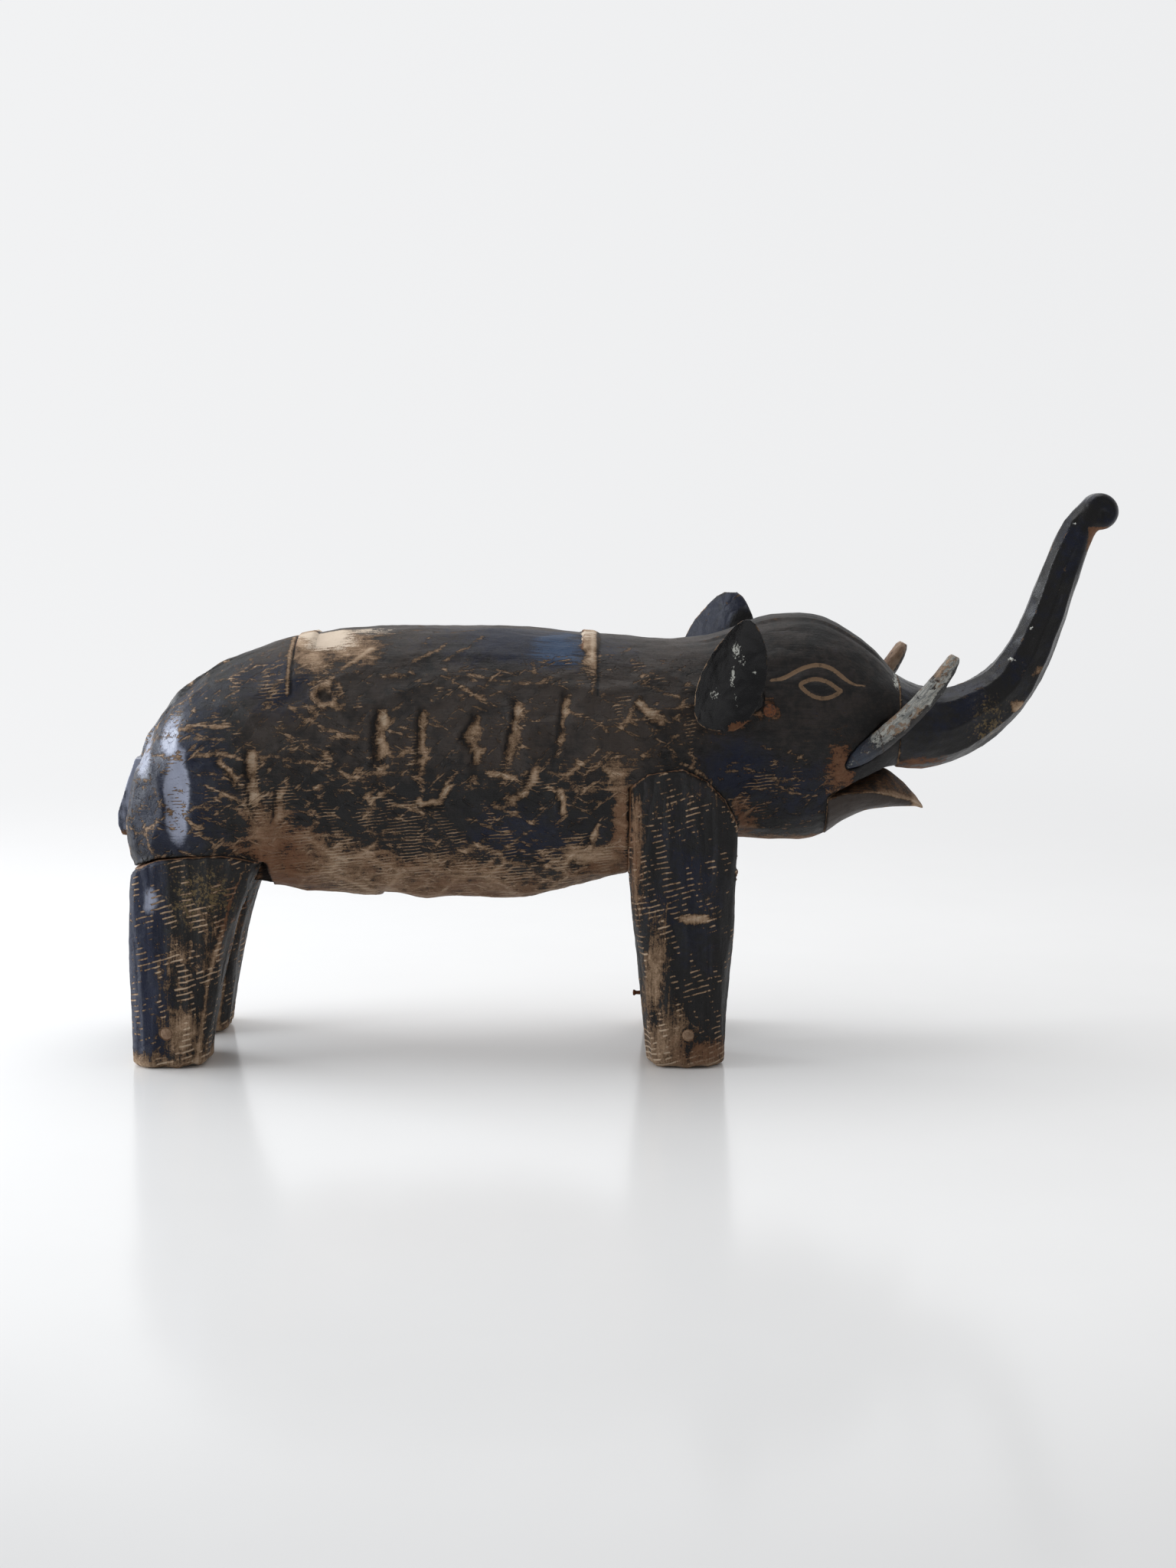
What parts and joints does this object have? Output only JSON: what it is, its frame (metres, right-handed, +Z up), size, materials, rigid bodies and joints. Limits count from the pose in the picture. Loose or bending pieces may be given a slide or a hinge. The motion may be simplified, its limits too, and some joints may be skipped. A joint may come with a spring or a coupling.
{
  "type": "carved wooden elephant",
  "caption": "Free-standing carved and painted wooden elephant figurine with a raised scrolled trunk, cupped ears and separate pegged legs and tusks.",
  "frame": {"origin": "on the surface the feet stand on, under the middle of the carving's box", "axes": "+X from the tail to the raised trunk, +Y to the elephant's left side, +Z up"},
  "size_m": [0.7, 0.184, 0.392],
  "materials": {
    "black_paint": "worn blue-black paint over hand-gouged wood, bare tan wood on the ridges, satin",
    "worn_patina": "dark grey-brown rubbed patina over wood, satin",
    "tusk_paint": "chipped grey-white paint over wood",
    "bare_wood": "bare end grain, dry",
    "rusty_iron": "rusted iron, matt"
  },
  "bodies": {
    "root": {"body": "black_paint", "trunk": "black_paint", "lower_jaw": "worn_patina", "tail": "worn_patina", "front_right_leg": "black_paint", "front_left_leg": "black_paint", "rear_right_leg": "black_paint", "rear_left_leg": "black_paint", "right_ear": "black_paint", "left_ear": "black_paint", "right_tusk": "tusk_paint", "left_tusk": "tusk_paint", "front_right_foot_plug": "bare_wood", "front_left_foot_plug": "bare_wood", "rear_right_foot_plug": "bare_wood", "rear_left_foot_plug": "bare_wood", "front_right_leg_dowel": "bare_wood", "front_left_leg_dowel": "bare_wood", "rear_right_leg_dowel": "bare_wood", "rear_left_leg_dowel": "bare_wood", "trunk_dowel": "bare_wood", "jaw_dowel": "bare_wood", "tail_pin": "rusty_iron", "leg_nail": "rusty_iron", "right_ear_nail": "rusty_iron", "left_ear_nail": "rusty_iron", "right_tusk_peg": "bare_wood", "left_tusk_peg": "bare_wood"}
  },
  "joints": []
}
